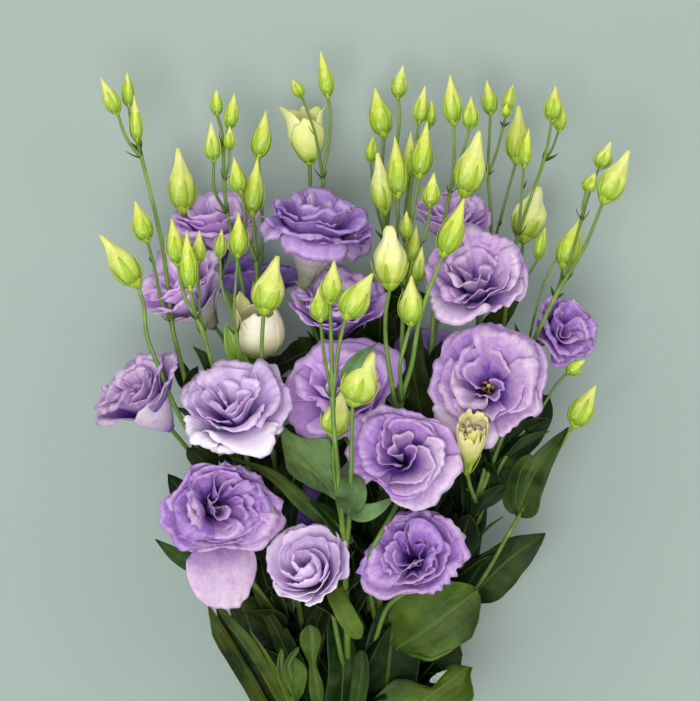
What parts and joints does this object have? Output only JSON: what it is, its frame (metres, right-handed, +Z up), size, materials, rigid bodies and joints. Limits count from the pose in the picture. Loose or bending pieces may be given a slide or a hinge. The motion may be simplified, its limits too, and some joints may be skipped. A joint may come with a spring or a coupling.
{
  "type": "lisianthus bouquet",
  "caption": "Tied bunch of cut double lisianthus in lilac with lime green buds and leafy stems, lying on its back on a surface.",
  "frame": {"origin": "middle of the bunch's outline seen from above, on the surface that it lies on", "axes": "+Y from the cut ends to the highest buds, +Z up, away from the surface, +X to the right as the flowers are seen from above"},
  "size_m": [0.2963, 0.5612, 0.1976],
  "materials": {
    "stem_and_bud": "satin, pale green stems and lime green buds",
    "leaf": "satin, dark green with a paler midrib",
    "petal_lilac": "soft matt, thin, violet towards the throat",
    "petal_cream": "soft matt, cream flushed with green",
    "band": "matt natural fibre"
  },
  "bodies": {
    "root": {"spray_far_left": "stem_and_bud", "spray_left_leaning": "stem_and_bud", "spray_left_front": "stem_and_bud", "spray_upper_left": "stem_and_bud", "spray_left_centre": "stem_and_bud", "spray_top_left": "stem_and_bud", "spray_centre_back": "stem_and_bud", "spray_centre": "stem_and_bud", "spray_centre_front": "stem_and_bud", "spray_centre_right": "stem_and_bud", "spray_right_back": "stem_and_bud", "spray_right": "stem_and_bud", "spray_far_right": "stem_and_bud", "spray_lower_right": "stem_and_bud", "spray_front": "stem_and_bud", "spray_lower_left": "stem_and_bud", "bloom_left_side": "petal_lilac", "bloom_left_front": "petal_lilac", "bloom_upper_left_back": "petal_lilac", "bloom_left_upper": "petal_lilac", "bloom_cream_half_open": "petal_cream", "bloom_top_centre": "petal_lilac", "bloom_centre_back": "petal_lilac", "bloom_lower_right": "petal_lilac", "bloom_back_right": "petal_lilac", "bloom_centre_right_front": "petal_lilac", "bloom_top_right_back": "petal_lilac", "bloom_upper_right": "petal_lilac", "bloom_right_side": "petal_lilac", "bloom_right_front": "petal_lilac", "bloom_centre": "petal_lilac", "bloom_lower_small": "petal_lilac", "bloom_lower_left": "petal_lilac", "bloom_back_centre": "petal_lilac", "bloom_back_left": "petal_lilac", "leaf_low_left_outer": "leaf", "leaf_low_left_edge": "leaf", "leaf_low_left_inner": "leaf", "leaf_low_curl": "leaf", "leaf_low_centre_left": "leaf", "leaf_low_centre": "leaf", "leaf_low_bright": "leaf", "leaf_low_strip": "leaf", "leaf_low_right_back": "leaf", "leaf_right_broad": "leaf", "leaf_right_low": "leaf", "leaf_far_right": "leaf", "leaf_right_vertical": "leaf", "leaf_right_upper": "leaf", "leaf_right_stem": "leaf", "leaf_centre_big": "leaf", "leaf_centre_narrow": "leaf", "leaf_cup": "leaf", "leaf_front_right": "leaf", "leaf_front_bract": "leaf", "leaf_left_back": "leaf", "leaf_centre_dark": "leaf", "leaf_centre_right_dark": "leaf", "leaf_right_top": "leaf", "tie_band": "band"}
  },
  "joints": []
}
